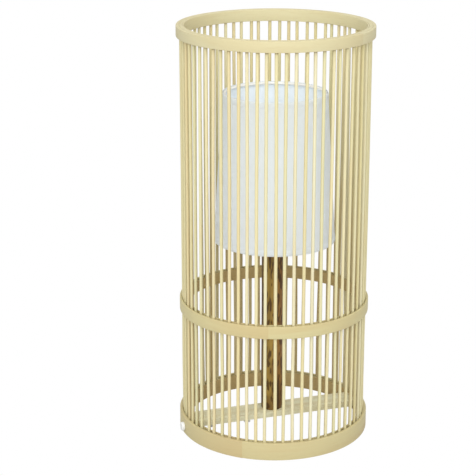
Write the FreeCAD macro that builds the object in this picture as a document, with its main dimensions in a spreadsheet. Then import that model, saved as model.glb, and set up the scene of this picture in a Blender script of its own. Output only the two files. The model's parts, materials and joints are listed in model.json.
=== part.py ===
import FreeCAD, Part
import math
import os
import re
import Sketcher

# A free-standing bamboo cage lamp, in millimetres, +Z up.
# The origin is the middle of the cage on the surface that it stands on.
# The cross board runs along X, and the cable bush is at the -X end.

SIZES = {
    # cage
    "cage_radius": 100.0,
    "cage_height": 430.0,
    "rod_count": 63,
    "rod_diameter": 3.5,
    "rod_floor_gap": 1.0,
    "glue_gap": 0.05,
    "edge_round": 0.5,
    "drill_over": 1.0,
    "hole_end_gap": 0.3,
    "top_outer_thick": 3.35,
    "top_outer_tall": 11.0,
    "top_inner_thick": 1.35,
    "top_inner_tall": 12.2,
    "rim_filler_tall": 3.0,
    "middle_level": 138.0,
    "middle_tall": 12.8,
    "middle_outer_thick": 2.25,
    "middle_inner_thick": 1.45,
    "bottom_outer_thick": 3.15,
    "bottom_outer_tall": 18.5,
    "bottom_inner_thick": 1.65,
    "bottom_inner_tall": 16.6,
    "bottom_inner_lift": 1.6,
    # cross board and its nails
    "board_level": 10.0,
    "board_thick": 6.5,
    "board_width": 25.0,
    "nail_radius": 0.7,
    "nail_head_radius": 1.2,
    "nail_head_thick": 0.6,
    "nail_length": 17.0,
    "nail_point": 1.6,
    # cable bush
    "bush_bore_radius": 2.7,
    "bush_shank_radius": 3.6,
    "bush_barb_radius": 3.9,
    "bush_tail": 2.6,
    "bush_flange_radius": 4.75,
    "bush_flange_thick": 3.3,
    "bush_flange_round": 1.2,
    "bush_gap": 0.1,
    # lead inside the lamp, its cores and its clips
    "lead_radius": 2.5,
    "lead_bend": 12.0,
    "lead_end_gap": 0.4,
    "lead_gap": 0.7,
    "lead_drop": 0.4,
    "lead_stand": 3.0,
    "core_radius": 0.85,
    "core_spacing": 1.15,
    "core_bend": 3.0,
    "core_gap": 0.25,
    "clip_wall": 1.0,
    "clip_length": 6.0,
    "clip_lug": 4.0,
    "clip_first": 70.0,
    "clip_second": 30.0,
    "clip_gap": 0.1,
    # post
    "post_length": 188.5,
    "post_foot_radius": 11.1,
    "post_top_radius": 10.8,
    "post_bore_radius": 7.5,
    "post_edge_round": 0.4,
    "base_plug_length": 18.0,
    "top_plug_length": 16.0,
    "screw_radius": 1.2,
    "screw_head_radius": 2.1,
    "screw_head_tall": 1.4,
    "screw_length": 21.0,
    "screw_point": 2.4,
    "screw_gap": 0.05,
    "drive_width": 0.5,
    "drive_length": 2.4,
    "drive_depth": 0.6,
    # nipple, washer and nut
    "nipple_radius": 5.0,
    "nipple_bore_radius": 3.4,
    "nipple_depth": 14.0,
    "nipple_gap": 0.05,
    "nipple_stand": 2.0,
    "washer_radius": 9.0,
    "washer_thick": 1.0,
    "nut_flats": 14.0,
    "nut_thick": 3.2,
    # lampholder
    "cap_neck_radius": 10.0,
    "cap_radius": 17.8,
    "cap_tall": 17.0,
    "cap_rim_tall": 6.0,
    "cap_floor": 2.4,
    "cap_wall": 2.0,
    "sleeve_radius": 19.65,
    "sleeve_bore_radius": 15.3,
    "sleeve_lip_radius": 14.4,
    "sleeve_lip_tall": 1.5,
    "sleeve_bevel": 1.0,
    "sleeve_tall": 42.0,
    "sleeve_flange_width": 2.35,
    "sleeve_flange_thick": 2.0,
    "sleeve_flange_level": 15.8,
    "sleeve_ridges": 7,
    "sleeve_ridge_pitch": 3.0,
    "sleeve_ridge_depth": 0.6,
    "insert_radius": 15.1,
    "insert_tall": 10.0,
    "insert_sink": 2.0,
    "shell_radius": 14.2,
    "shell_wall": 0.4,
    "shell_tall": 23.0,
    "terminal_offset": 10.8,
    "terminal_radius": 1.5,
    "terminal_head_radius": 2.5,
    "terminal_head_tall": 1.6,
    "terminal_depth": 5.0,
    "terminal_slot_width": 0.6,
    "terminal_slot_depth": 0.7,
    "core_offset": 6.6,
    "core_depth": 3.0,
    "contact_radius": 3.4,
    "contact_tall": 1.5,
    "shell_ribs": 5,
    # shade
    "shade_lower_radius": 63.5,
    "shade_upper_radius": 54.0,
    "shade_tall": 155.0,
    "shade_thick": 0.6,
    "shade_drop": 30.0,
    "shade_wire_radius": 1.5,
    "shade_wire_gap": 0.3,
    "fitter_gap": 0.45,
    "fitter_width": 5.4,
    "fitter_thick": 1.6,
    "fitter_rim_tall": 6.0,
    "fitter_rim_thick": 1.5,
    "arm_width": 3.2,
    "arm_thick": 2.4,
    "arm_count": 3,
    "seat_gap": 0.1,
    "ring_gap": 0.3,
    "ring_flange_width": 6.05,
    "ring_wall": 2.85,
    "ring_flange_thick": 2.4,
    "ring_tall": 9.0,
    "ring_notches": 18,
    "ring_notch_radius": 1.0,
    "ring_notch_out": 0.3,
    # lamp (bulb)
    "bulb_gap": 0.4,
    "bulb_contact_radius": 4.6,
    "bulb_contact_tall": 1.8,
    "bulb_contact_sink": 0.2,
    "bulb_insulator_tall": 3.2,
    "bulb_cap_radius": 13.1,
    "bulb_cap_tall": 22.0,
    "bulb_cap_wall": 0.4,
    "bulb_cap_floor": 1.2,
    "bulb_cap_foot_radius": 11.5,
    "bulb_thread_depth": 0.5,
    "bulb_thread_pitch": 3.6,
    "bulb_threads": 5,
    "bulb_body_tall": 24.0,
    "bulb_body_wall": 1.4,
    "bulb_collar": 0.6,
    "bulb_collar_flare": 0.3,
    "bulb_collar_tall": 3.0,
    "bulb_shoulder": 0.4,
    "bulb_globe_radius": 18.5,
    "bulb_globe_tall": 50.0,
    "bulb_globe_wall": 0.9,
    "led_board_thick": 1.6,
    "led_board_bore": 1.5,
    "led_board_gap": 0.8,
    "led_board_drop": 1.0,
    "driver_width": 15.0,
    "driver_thick": 1.6,
}

# Places that follow from the sizes, in the order in which they depend on each other.
PLACES = {
    "rod_radius": "rod_diameter / 2",
    "outer_seat": "cage_radius - top_outer_thick",
    "rod_circle": "outer_seat - glue_gap - rod_radius",
    "inner_seat": "rod_circle - rod_radius - glue_gap",
    "rod_top": "cage_height - rim_filler_tall - glue_gap",
    "middle_low": "middle_level - middle_tall / 2",
    "bottom_outer_radius": "outer_seat + bottom_outer_thick",
    "board_reach": "inner_seat - bottom_inner_thick - glue_gap",
    "board_top": "board_level + board_thick",
    "nail_level": "board_level + board_thick / 2",
    "bush_level": "board_level - lead_drop - lead_radius",
    "bush_seat": "bottom_outer_radius + glue_gap",
    "bush_shank": "bush_seat - board_reach + bush_tail",
    "bush_inner_end": "bush_seat - bush_shank",
    "lead_rise": "board_level - bush_level",
    "bend_half": "sqrt((lead_bend - lead_radius) ^ 2 - (lead_bend - lead_rise) ^ 2)",
    "slot_half": "lead_radius + lead_gap",
    "slot_reach": "lead_bend - bend_half + lead_gap - slot_half",
    "screw_offset": "(slot_half + post_bore_radius) / 2",
    "clip_low": "bush_level - lead_radius - clip_gap - clip_wall",
    "clip_half": "lead_radius + clip_gap + clip_wall",
    "clip_nail_offset": "clip_half + clip_lug / 2",
    "clip_nail_top": "board_level + 0.7 * board_thick",
    "post_low": "board_top + glue_gap",
    "post_top": "post_low + post_length",
    "nipple_low": "post_top - nipple_depth",
    "washer_low": "post_top + glue_gap",
    "nut_low": "washer_low + washer_thick + glue_gap",
    "holder_low": "nut_low + nut_thick + glue_gap",
    "nipple_length": "holder_low + cap_floor + nipple_stand - nipple_low",
    "lead_top": "holder_low + cap_floor + lead_stand",
    "cap_top": "holder_low + cap_tall",
    "sleeve_low": "cap_top - cap_rim_tall",
    "seat_level": "sleeve_low + sleeve_flange_level",
    "sleeve_flange_radius": "sleeve_radius + sleeve_flange_width",
    "fitter_bore_radius": "sleeve_radius + fitter_gap",
    "fitter_radius": "fitter_bore_radius + fitter_width",
    "ring_bore_radius": "sleeve_radius + ring_gap",
    "ring_radius": "ring_bore_radius + ring_flange_width",
    "ring_collar_radius": "ring_bore_radius + ring_wall",
    "insert_low": "cap_top - insert_sink",
    "insert_top": "insert_low + insert_tall",
    "shell_low": "insert_top + glue_gap",
    "contact_low": "insert_top + glue_gap",
    "fitter_low": "seat_level + seat_gap",
    "fitter_top": "fitter_low + fitter_thick",
    "ring_low": "fitter_top + seat_gap",
    "shade_low": "seat_level - shade_drop",
    "wire_circle": "shade_lower_radius - shade_thick - shade_wire_gap - shade_wire_radius",
    "wire_level": "shade_low + shade_wire_radius + shade_wire_gap",
    "upper_wire_circle": "shade_upper_radius - shade_thick - shade_wire_gap - shade_wire_radius",
    "upper_wire_level": "shade_low + shade_tall - shade_wire_radius - shade_wire_gap",
    "bulb_low": "contact_low + contact_tall + bulb_gap",
    "bulb_insulator_low": "bulb_low + bulb_contact_tall - bulb_contact_sink",
    "bulb_cap_low": "bulb_insulator_low + bulb_insulator_tall",
    "bulb_body_low": "bulb_cap_low + bulb_cap_tall",
    "bulb_globe_low": "bulb_body_low + bulb_body_tall",
}

ROD_NODES = 21
CREST_START, VALLEY_START, VALLEY_END, CREST_END = 0.35, 0.55, 0.75, 0.95
CORE_KNEES = (0.2, 0.55)
EGG_STEPS = 14
EGG_POWER = 1.12
WORD = re.compile(r"[a-z][a-z_]*")
ALONG_X = FreeCAD.Rotation(FreeCAD.Vector(0, 1, 0), 90)
AGAINST_X = FreeCAD.Rotation(FreeCAD.Vector(0, 1, 0), -90)
UPRIGHT = FreeCAD.Rotation()

doc = FreeCAD.newDocument("CageLamp")
nodes = {}


def make_sheet():
    """Write the driving sizes, one row each, with the size's name as the cell's alias."""
    sheet = doc.addObject("Spreadsheet::Sheet", "Sizes")
    for row, (name, size) in enumerate(SIZES.items(), start=1):
        sheet.set("A%d" % row, name)
        sheet.set("B%d" % row, str(size))
        sheet.setAlias("B%d" % row, name)
    doc.recompute()
    return sheet


def make_places():
    """Keep the derived places as properties that follow the sheet."""
    places = doc.addObject("App::VarSet", "Places")
    for name, rule in PLACES.items():
        places.addProperty("App::PropertyFloat", name, "Places")
        places.setExpression(name, formula(rule))
        doc.recompute()
    return places


def formula(rule):
    """Say which object owns each name in a rule."""
    def owner(found):
        name = found.group(0)
        if name in SIZES:
            return "Sizes." + name
        if name in PLACES:
            return "Places." + name
        return name
    return WORD.sub(owner, rule)


def size(name):
    """Read one size or place as a number."""
    return float(getattr(sheet if name in SIZES else places, name))


def measure(rule):
    """Work out a rule with FreeCAD's own quantity parser."""
    def number(found):
        name = found.group(0)
        if name in SIZES or name in PLACES:
            return "(%.9f)" % size(name)
        return name
    return FreeCAD.Units.Quantity(WORD.sub(number, rule)).Value


def bind(item, prop, rule):
    item.setExpression(prop, formula(rule))


def place(item, x="0", y="0", z="0", turn=UPRIGHT):
    """Turn an object and tie its position to the sheet."""
    item.Placement = FreeCAD.Placement(FreeCAD.Vector(), turn)
    for axis, rule in (("x", x), ("y", y), ("z", z)):
        if rule != "0":
            bind(item, "Placement.Base." + axis, rule)
    return item


def keep(label, item):
    """Name an object as one of the lamp's pieces."""
    item.Label = label
    nodes[label] = item
    return item


# Building blocks

def origin_part(body, role):
    return [part for part in body.Origin.OriginFeatures if part.Role == role][0]


def blank_sketch(body, name):
    """An empty sketch on a body's own upright plane."""
    sketch = body.newObject("Sketcher::SketchObject", name)
    sketch.AttachmentSupport = (origin_part(body, "XZ_Plane"), [""])
    sketch.MapMode = "FlatFace"
    return sketch


def draw(body, name, outline):
    """Draw a closed outline of (across, up) rules on a body's own upright plane."""
    sketch = blank_sketch(body, name)
    corners = [FreeCAD.Vector(measure(x), measure(y), 0) for x, y in outline]
    count = len(corners)
    for i in range(count):
        sketch.addGeometry(Part.LineSegment(corners[i], corners[(i + 1) % count]), False)
    for i in range(count):
        sketch.addConstraint(Sketcher.Constraint("Coincident", i, 2, (i + 1) % count, 1))
    for i, rules in enumerate(outline):
        hold_corner(sketch, i, rules, corners[i])
    return sketch


def hold_corner(sketch, corner, rules, spot):
    """Tie one corner of a sketch to its two rules."""
    for kind, rule, value, axis in (
        ("DistanceX", rules[0], spot.x, -2),
        ("DistanceY", rules[1], spot.y, -1),
    ):
        if rule == "0":
            sketch.addConstraint(Sketcher.Constraint("PointOnObject", corner, 1, axis))
            continue
        index = sketch.addConstraint(Sketcher.Constraint(kind, -1, 1, corner, 1, value))
        sketch.setExpression("Constraints[%d]" % index, formula(rule))


def spin(body, sketch):
    """Revolve a sketch a full turn about its upright axis."""
    turned = body.newObject("PartDesign::Revolution", sketch.Name + "_turned")
    turned.Profile = sketch
    turned.ReferenceAxis = (sketch, ["V_Axis"])
    turned.Angle = 360
    sketch.Visibility = False
    return turned


def turned_body(name, outline, round_rule=None):
    """A turned piece: an outline spun about Z, with its round edges eased."""
    body = doc.addObject("PartDesign::Body", name)
    shape = spin(body, draw(body, name + "_outline", outline))
    if round_rule:
        doc.recompute()
        ease_edges(body, shape, round_rule)
    return body


def ease_edges(body, feature, round_rule):
    """Fillet every full circle of a turned feature."""
    rims = []
    for number, edge in enumerate(feature.Shape.Edges, start=1):
        if isinstance(edge.Curve, Part.Circle) and edge.isClosed():
            rims.append("Edge%d" % number)
    fillet = body.newObject("PartDesign::Fillet", body.Name + "_eased")
    fillet.Base = (feature, rims)
    bind(fillet, "Radius", round_rule)
    body.Tip = fillet
    return fillet


def ring_outline(inner, outer, tall):
    return [(inner, "0"), (outer, "0"), (outer, tall), (inner, tall)]


def cylinder(name, radius, tall, x="0", y="0", z="0", turn=UPRIGHT):
    item = doc.addObject("Part::Cylinder", name)
    bind(item, "Radius", radius)
    bind(item, "Height", tall)
    return place(item, x, y, z, turn)


def block(name, long, wide, tall, x, y, z):
    item = doc.addObject("Part::Box", name)
    bind(item, "Length", long)
    bind(item, "Width", wide)
    bind(item, "Height", tall)
    return place(item, x, y, z)


def joined(name, items):
    union = doc.addObject("Part::MultiFuse", name)
    union.Shapes = items
    return union


def cut_away(name, base, tools):
    """Take one or more tools out of a base."""
    cut = doc.addObject("Part::Cut", name)
    cut.Base = base
    cut.Tool = tools[0] if len(tools) == 1 else joined(name + "_tools", tools)
    return cut


def group(name, items):
    """Identical pieces that share one node as separate solids."""
    several = doc.addObject("Part::Compound", name)
    several.Links = items
    return several


def fluted(low, high, radius, depth, pitch, count):
    """Corners of a threaded stretch as rings: a crest and a valley in each pitch."""
    corners = [(radius, low)]
    for ridge in range(count):
        foot = "%s + %g * %s" % (low, ridge, pitch)
        valley = "%s - %s" % (radius, depth)
        for across, share in (
            (radius, CREST_START), (valley, VALLEY_START), (valley, VALLEY_END), (radius, CREST_END),
        ):
            corners.append((across, "%s + %g * %s" % (foot, share, pitch)))
    corners.append((radius, high))
    return corners


def tube(name, route, radius, bend):
    """A round tube along straight runs joined by tangent arcs of one radius."""
    edges = []
    start = route[0]
    for before, corner, after in zip(route, route[1:], route[2:]):
        way_in = (corner - before).normalize()
        way_out = (after - corner).normalize()
        turn = way_in.getAngle(way_out)
        reach = bend * math.tan(turn / 2)
        entry = corner - way_in * reach
        leave = corner + way_out * reach
        inward = (way_out - way_in).normalize()
        centre = corner + inward * (bend / math.cos(turn / 2))
        edges.append(Part.LineSegment(start, entry).toShape())
        edges.append(Part.Arc(entry, centre - inward * bend, leave).toShape())
        start = leave
    edges.append(Part.LineSegment(start, route[-1]).toShape())
    path = Part.Wire(edges)
    section = Part.Wire(Part.makeCircle(radius, route[0], route[1] - route[0]))
    item = doc.addObject("Part::Feature", name)
    item.Shape = path.makePipeShell([section], True, False)
    item.Placement = FreeCAD.Placement()
    expected = math.pi * radius ** 2 * path.Length
    if abs(item.Shape.Volume / expected - 1) > 0.01:
        raise ValueError("%s has volume %.1f, not %.1f" % (name, item.Shape.Volume, expected))
    return item


# The cage

def hoop(label, inner, outer, tall, low):
    eased = "min(edge_round; 0.3 * (%s - (%s)))" % (outer, inner)
    body = turned_body(label + "_band", ring_outline(inner, outer, tall), eased)
    return place(body, z=low)


def side_hole(name, radius, offset, level, far_side):
    """A tool that drills through a hoop along X, on one side of the cage."""
    start = "board_reach - nail_length" if far_side else "- bottom_outer_radius - drill_over"
    reach = "bottom_outer_radius + drill_over - board_reach + nail_length"
    return cylinder(name, radius, reach, start, offset, level, ALONG_X)


def nail_offsets():
    """The Y of each board nail, in a gap between rods, as (far side, rule)."""
    far_share = 0.5 if int(size("rod_count")) % 2 else 1.0
    rules = []
    for far_side, share in ((False, 1.0), (True, far_share)):
        for sign in ("", "- "):
            rule = "%srod_circle * sin(%g * 360 / rod_count)" % (sign, share)
            rules.append((far_side, rule))
    return rules


def nail_holes(label):
    tools = []
    for number, (far_side, rule) in enumerate(nail_offsets(), start=1):
        name = "%s_nail_hole_%d" % (label, number)
        tools.append(side_hole(name, "nail_radius + glue_gap", rule, "nail_level", far_side))
    return tools


def head_sinks(label):
    """Flat-bottomed recesses that take the nail heads flush into the outer hoop."""
    tools = []
    deep = "nail_head_thick + 2 * drill_over"
    for number, (far_side, rule) in enumerate(nail_offsets(), start=1):
        face = nail_face(rule)
        start = face if far_side else "- (%s) - (%s)" % (face, deep)
        name = "%s_sink_%d" % (label, number)
        tools.append(cylinder(
            name, "nail_head_radius + glue_gap", deep, start, rule, "nail_level", ALONG_X))
    return tools


def nail_face(rule):
    """How far out the underside of a nail's head sits."""
    edge = "(abs(%s) + nail_head_radius)" % rule
    return "sqrt(bottom_outer_radius ^ 2 - %s ^ 2) - nail_head_thick" % edge


def bush_hole(label):
    return side_hole(label + "_bush_hole", "bush_shank_radius + bush_gap", "0", "bush_level", False)


def make_hoops():
    top = "cage_height - "
    inner = "inner_seat - "
    keep("top_outer_hoop", hoop(
        "top_outer_hoop", "outer_seat", "cage_radius", "top_outer_tall", top + "top_outer_tall"))
    keep("top_inner_hoop", hoop(
        "top_inner_hoop", inner + "top_inner_thick", "inner_seat", "top_inner_tall",
        top + "top_inner_tall"))
    keep("middle_outer_hoop", hoop(
        "middle_outer_hoop", "outer_seat", "outer_seat + middle_outer_thick", "middle_tall",
        "middle_low"))
    keep("middle_inner_hoop", hoop(
        "middle_inner_hoop", inner + "middle_inner_thick", "inner_seat", "middle_tall",
        "middle_low"))
    filler = turned_body("rim_filler_band", ring_outline(
        "inner_seat + glue_gap", "outer_seat - glue_gap", "rim_filler_tall"))
    keep("rim_filler", place(filler, z=top + "rim_filler_tall"))


def make_bottom_hoops():
    outer = hoop("bottom_outer_hoop", "outer_seat", "bottom_outer_radius", "bottom_outer_tall", "0")
    holes = nail_holes("outer_hoop") + head_sinks("outer_hoop") + [bush_hole("outer_hoop")]
    keep("bottom_outer_hoop", cut_away("bottom_outer_drilled", outer, holes))
    inner = hoop(
        "bottom_inner_hoop", "inner_seat - bottom_inner_thick", "inner_seat",
        "bottom_inner_tall", "bottom_inner_lift")
    holes = nail_holes("inner_hoop") + [bush_hole("inner_hoop")]
    keep("bottom_inner_hoop", cut_away("bottom_inner_drilled", inner, holes))


def make_rod(number):
    """One rod; the two beside the cable bush are notched to let it through."""
    angle = "(180 + %g * 360 / rod_count)" % (number + 0.5)
    rod = cylinder(
        "rod_%d" % (number + 1), "rod_radius", "rod_top - rod_floor_gap",
        "rod_circle * cos%s" % angle, "rod_circle * sin%s" % angle, "rod_floor_gap")
    beside_bush = number in (0, int(size("rod_count")) - 1)
    if not beside_bush:
        return rod
    notch = bush_hole("rod_%d" % (number + 1))
    return cut_away("rod_%d_notched" % (number + 1), rod, [notch])


def make_rods():
    count = int(size("rod_count"))
    rods = [make_rod(number) for number in range(count)]
    share = math.ceil(count / ROD_NODES)
    for number, first in enumerate(range(0, count, share), start=1):
        label = "cage_rods_%02d" % number
        keep(label, group(label + "_group", rods[first:first + share]))


# The cross board and what fastens it

def screw_spots():
    return ("screw_offset", "- screw_offset")


def clip_spots():
    return ("- clip_first", "- clip_second")


def board_openings():
    """Lead slot, screw holes, nail holes, clip nail holes and bush notch of the board."""
    deep = "board_thick + 2 * drill_over"
    under = "board_level - drill_over"
    slot = [
        cylinder("slot_front", "slot_half", deep, "0", "0", under),
        cylinder("slot_back", "slot_half", deep, "- slot_reach", "0", under),
        block("slot_middle", "slot_reach", "2 * slot_half", deep, "- slot_reach", "- slot_half", under),
    ]
    screws = []
    for number, spot in enumerate(screw_spots(), start=1):
        screws.append(cylinder(
            "screw_hole_%d" % number, "screw_radius + screw_gap", deep, "0", spot, under))
        sink = doc.addObject("Part::Cone", "screw_sink_%d" % number)
        bind(sink, "Radius1", "screw_head_radius + screw_gap")
        bind(sink, "Radius2", "screw_radius + screw_gap")
        bind(sink, "Height", "screw_head_tall")
        screws.append(place(sink, "0", spot, "board_level"))
    clips = []
    for number, spot in enumerate(clip_spots(), start=1):
        clips.append(cylinder(
            "clip_nail_hole_%d" % number, "nail_radius + glue_gap",
            "clip_nail_top - board_level + drill_over + hole_end_gap",
            spot, "clip_nail_offset", under))
    bush_notch = cylinder(
        "bush_notch", "bush_barb_radius + bush_gap", "drill_over + bush_tail + bush_gap",
        "- board_reach - drill_over", "0", "bush_level", ALONG_X)
    return slot + screws + clips + nail_holes("board") + [bush_notch]


def make_board():
    plank = block(
        "board_plank", "2 * board_reach", "board_width", "board_thick",
        "- board_reach", "- board_width / 2", "board_level")
    bound = cylinder("board_bound", "board_reach", "board_thick", z="board_level")
    shaped = doc.addObject("Part::Common", "board_shaped")
    shaped.Base = plank
    shaped.Tool = bound
    keep("cross_board", cut_away("board_cut", shaped, board_openings()))


def nail_body(name, long):
    """A round nail along its own Z: head at the bottom, point at the top."""
    return turned_body(name, [
        ("0", "0"),
        ("nail_head_radius", "0"),
        ("nail_head_radius", "nail_head_thick - glue_gap"),
        ("nail_radius", "nail_head_thick"),
        ("nail_radius", "%s - nail_point" % long),
        ("0", long),
    ])


def make_board_nails():
    nails = []
    for number, (far_side, rule) in enumerate(nail_offsets(), start=1):
        nail = nail_body("board_nail_%d" % number, "nail_length")
        outside = "(%s + nail_head_thick + glue_gap)" % nail_face(rule)
        start = outside if far_side else "- " + outside
        towards = AGAINST_X if far_side else ALONG_X
        nails.append(place(nail, start, rule, "nail_level", towards))
    keep("board_nails", group("board_nail_group", nails))


# The cable bush, the lead inside the lamp and its clips

def make_bush():
    """A snap-in bush: a barbed shank through both hoops and a rounded flange outside."""
    body = turned_body("bush_body", [
        ("bush_bore_radius", "0"),
        ("bush_shank_radius", "0"),
        ("bush_barb_radius", "0.75 * bush_tail"),
        ("bush_shank_radius", "0.9 * bush_tail"),
        ("bush_shank_radius", "bush_shank"),
        ("bush_flange_radius", "bush_shank"),
        ("bush_flange_radius", "bush_shank + bush_flange_thick - bush_flange_round"),
        ("bush_flange_radius - bush_flange_round", "bush_shank + bush_flange_thick"),
        ("bush_bore_radius", "bush_shank + bush_flange_thick"),
    ])
    keep("cable_bush", place(body, "- bush_inner_end", "0", "bush_level", AGAINST_X))


def make_lead():
    """The flex: from the bush, under the board, then up the middle of the post."""
    level = size("bush_level")
    start = FreeCAD.Vector(-size("bush_inner_end") + size("lead_end_gap"), 0, level)
    corner = FreeCAD.Vector(0, 0, level)
    end = FreeCAD.Vector(0, 0, size("lead_top"))
    keep("inner_lead", tube("lead_tube", [start, corner, end], size("lead_radius"), size("lead_bend")))


def make_cores():
    """Two cores, from the end of the sheath to the terminals in the holder's insert."""
    low = size("lead_top") + size("glue_gap")
    high = size("insert_low") + size("core_depth")
    span = high - low
    cores = []
    for number, side in enumerate((1, -1), start=1):
        near = side * size("core_spacing")
        far = side * size("core_offset")
        route = [
            FreeCAD.Vector(near, 0, low),
            FreeCAD.Vector(near, 0, low + CORE_KNEES[0] * span),
            FreeCAD.Vector(far, 0, low + CORE_KNEES[1] * span),
            FreeCAD.Vector(far, 0, high),
        ]
        cores.append(tube("core_%d" % number, route, size("core_radius"), size("core_bend")))
    keep("lead_cores", group("core_group", cores))


def make_clips():
    """Saddle clips that hold the lead under the board, each with its own nail."""
    clips = []
    nails = []
    for number, spot in enumerate(clip_spots(), start=1):
        start = "%s - clip_length / 2" % spot
        tall = "board_level - glue_gap - clip_low"
        saddle = block(
            "saddle_%d" % number, "clip_length", "2 * clip_half + clip_lug", tall,
            start, "- clip_half", "clip_low")
        before = start + " - drill_over"
        through = "clip_length + 2 * drill_over"
        channel = cylinder(
            "channel_%d" % number, "lead_radius + clip_gap", through,
            before, "0", "bush_level", ALONG_X)
        mouth = block(
            "mouth_%d" % number, through, "2 * (lead_radius + clip_gap)", "lead_rise",
            before, "- lead_radius - clip_gap", "bush_level")
        hole = cylinder(
            "clip_hole_%d" % number, "nail_radius + glue_gap", tall,
            spot, "clip_nail_offset", "clip_low")
        clips.append(cut_away("clip_%d" % number, saddle, [channel, mouth, hole]))
        nail = nail_body("clip_nail_%d" % number, "clip_nail_top - clip_low + nail_head_thick")
        nails.append(place(
            nail, spot, "clip_nail_offset", "clip_low - nail_head_thick - glue_gap"))
    keep("lead_clips", group("clip_group", clips))
    keep("clip_nails", group("clip_nail_group", nails))


# The post

def make_post():
    culm = turned_body("post_culm", [
        ("post_bore_radius", "0"),
        ("post_foot_radius", "0"),
        ("post_top_radius", "post_length"),
        ("post_bore_radius", "post_length"),
    ], "min(post_edge_round; 0.3 * (post_top_radius - post_bore_radius))")
    keep("post", place(culm, z="post_low"))
    base_plug = turned_body("base_plug_turned", ring_outline(
        "slot_half", "post_bore_radius - glue_gap", "base_plug_length"))
    place(base_plug, z="post_low")
    holes = []
    for number, spot in enumerate(screw_spots(), start=1):
        holes.append(cylinder(
            "plug_hole_%d" % number, "screw_radius + screw_gap", "base_plug_length + 2 * drill_over",
            "0", spot, "post_low - drill_over"))
    keep("post_base_plug", cut_away("base_plug_drilled", base_plug, holes))
    top_plug = turned_body("top_plug_turned", ring_outline(
        "nipple_radius + nipple_gap", "post_bore_radius - glue_gap", "top_plug_length"))
    keep("post_top_plug", place(top_plug, z="post_top - top_plug_length"))


def make_post_screws():
    """Countersunk screws, up through the board into the base plug."""
    screws = []
    for number, spot in enumerate(screw_spots(), start=1):
        screw = turned_body("post_screw_%d" % number, [
            ("0", "0"),
            ("screw_head_radius", "0"),
            ("screw_radius", "screw_head_tall"),
            ("screw_radius", "screw_length - screw_point"),
            ("0", "screw_length"),
        ])
        place(screw, "0", spot, "board_level + glue_gap")
        low = "board_level - drill_over"
        deep = "drill_over + glue_gap + drive_depth"
        across = block(
            "drive_across_%d" % number, "drive_length", "drive_width", deep,
            "- drive_length / 2", spot + " - drive_width / 2", low)
        along = block(
            "drive_along_%d" % number, "drive_width", "drive_length", deep,
            "- drive_width / 2", spot + " - drive_length / 2", low)
        screws.append(cut_away("driven_screw_%d" % number, screw, [across, along]))
    keep("post_screws", group("post_screw_group", screws))


def make_nipple():
    nipple = turned_body("nipple_turned", ring_outline(
        "nipple_bore_radius", "nipple_radius", "nipple_length"))
    keep("holder_nipple", place(nipple, z="nipple_low"))
    washer = turned_body("washer_turned", ring_outline(
        "nipple_radius + nipple_gap", "washer_radius", "washer_thick"))
    keep("nipple_washer", place(washer, z="washer_low"))
    prism = doc.addObject("Part::Prism", "nut_prism")
    prism.Polygon = 6
    bind(prism, "Circumradius", "nut_flats / sqrt(3)")
    bind(prism, "Height", "nut_thick")
    place(prism, z="nut_low")
    hole = cylinder(
        "nut_hole", "nipple_radius + nipple_gap", "nut_thick + 2 * drill_over", z="nut_low - drill_over")
    keep("nipple_nut", cut_away("nut_drilled", prism, [hole]))


# The lampholder

def make_holder_cap():
    """The dished cap that screws on the nipple and closes the holder from below."""
    shoulder = "cap_tall - cap_rim_tall"
    cap = turned_body("cap_turned", [
        ("nipple_radius + nipple_gap", "0"),
        ("cap_neck_radius", "0"),
        ("cap_radius", "0.8 * (%s)" % shoulder),
        ("cap_radius", "cap_tall"),
        ("cap_radius - cap_wall", "cap_tall"),
        ("cap_radius - cap_wall", "0.8 * (%s) + cap_wall / 4" % shoulder),
        ("cap_neck_radius - cap_wall / 2", "cap_floor"),
        ("nipple_radius + nipple_gap", "cap_floor"),
    ])
    keep("holder_cap", place(cap, z="holder_low"))


def make_holder_sleeve():
    """The sleeve: a skirt over the cap's rim, the shade's seat, and an outside thread."""
    lap = "cap_rim_tall + glue_gap"
    seat = "sleeve_flange_level"
    profile = [
        ("cap_radius + glue_gap", "0"),
        ("sleeve_radius", "0"),
        ("sleeve_radius", seat + " - sleeve_flange_thick"),
        ("sleeve_flange_radius", seat + " - sleeve_flange_thick"),
        ("sleeve_flange_radius", seat),
    ]
    profile += fluted(
        seat, "sleeve_tall - sleeve_bevel", "sleeve_radius", "sleeve_ridge_depth",
        "sleeve_ridge_pitch", int(size("sleeve_ridges")))
    profile += [
        ("sleeve_radius - sleeve_bevel", "sleeve_tall"),
        ("sleeve_lip_radius", "sleeve_tall"),
        ("sleeve_lip_radius", "sleeve_tall - sleeve_lip_tall"),
        ("sleeve_bore_radius", "sleeve_tall - sleeve_lip_tall - sleeve_bevel"),
        ("sleeve_bore_radius", lap),
        ("cap_radius + glue_gap", lap),
    ]
    keep("holder_sleeve", place(turned_body("sleeve_turned", profile), z="sleeve_low"))


def make_holder_insert():
    body = turned_body("insert_turned", [
        ("0", "0"),
        ("insert_radius", "0"),
        ("insert_radius", "insert_tall"),
        ("0", "insert_tall"),
    ])
    place(body, z="insert_low")
    over = "drill_over + hole_end_gap"
    holes = []
    for number, sign in enumerate(("", "- "), start=1):
        holes.append(cylinder(
            "core_hole_%d" % number, "core_radius + core_gap", "core_depth + " + over,
            sign + "core_offset", "0", "insert_low - drill_over"))
        holes.append(cylinder(
            "terminal_hole_%d" % number, "terminal_radius + glue_gap", "terminal_depth + " + over,
            sign + "terminal_offset", "0", "insert_low - drill_over"))
    keep("holder_insert", cut_away("insert_drilled", body, holes))


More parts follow.
